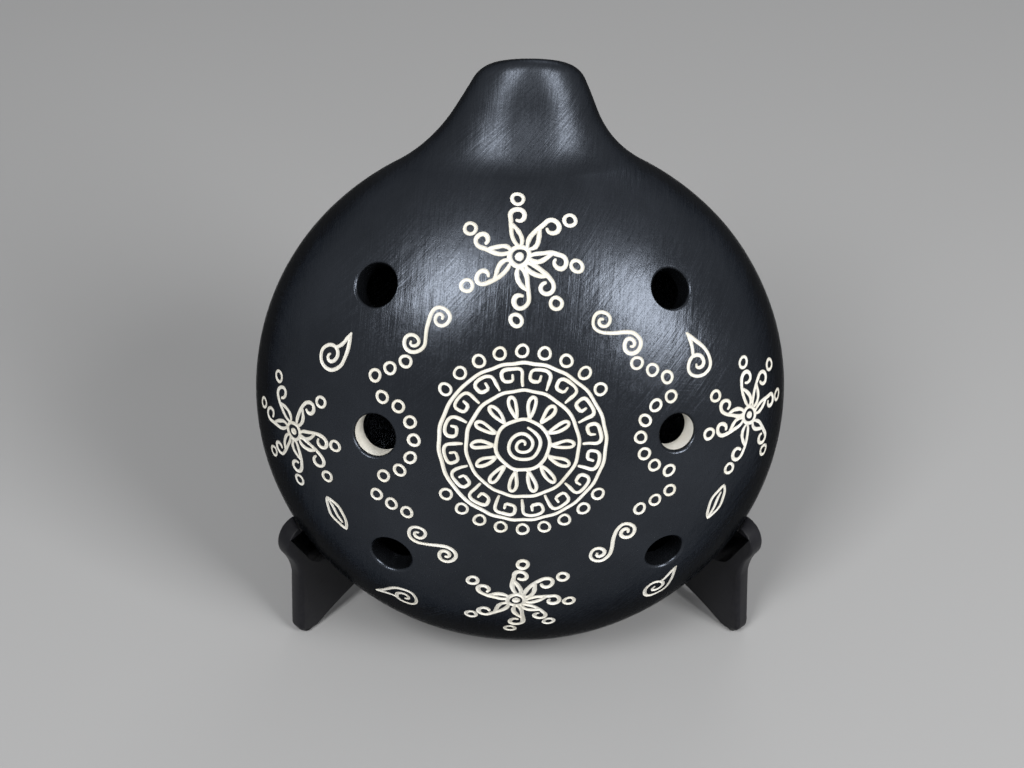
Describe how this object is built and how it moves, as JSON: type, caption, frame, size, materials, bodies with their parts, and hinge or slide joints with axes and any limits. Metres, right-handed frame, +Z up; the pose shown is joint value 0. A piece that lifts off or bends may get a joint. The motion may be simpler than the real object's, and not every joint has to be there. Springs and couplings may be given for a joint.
{
  "type": "ocarina",
  "caption": "Round hand-built clay ocarina with finger holes in two columns, a tapered blowing end and a voicing window, leaning back in a low folding stand of two hinged profile legs.",
  "frame": {"origin": "on the surface that the stand's feet rest on, under the middle of the round body", "axes": "+Z up, the finger holes face -Y and the voicing window faces +Y, +X to the right seen from the front"},
  "size_m": [0.13, 0.0858, 0.1469],
  "materials": {
    "coated_clay": "satin",
    "bare_clay": "matte",
    "painted_wood": "satin",
    "brass": "satin",
    "steel": "satin"
  },
  "bodies": {
    "stand_left": {"left_leg": "painted_wood", "left_leaf": "brass", "hinge_pin": "steel", "left_upper_screw": "brass", "left_lower_screw": "brass"},
    "stand_right": {"right_leg": "painted_wood", "right_leaf": "brass", "right_upper_screw": "brass", "right_lower_screw": "brass"},
    "ocarina": {"front_shell": "coated_clay", "back_shell": "coated_clay", "seam_coil": "bare_clay", "windway_block": "coated_clay", "windway_roof": "coated_clay"}
  },
  "joints": [
    {"name": "stand_fold", "type": "hinge", "parent": "stand_left", "child": "stand_right", "pos_m": [0, 0.038, 0], "axis": [0, 0, 1], "range_deg": [0, 90]},
    {"name": "ocarina_lift", "type": "slide", "parent": "stand_left", "child": "ocarina", "axis": [0, 0, 1], "range_m": [0, 0.09]}
  ]
}
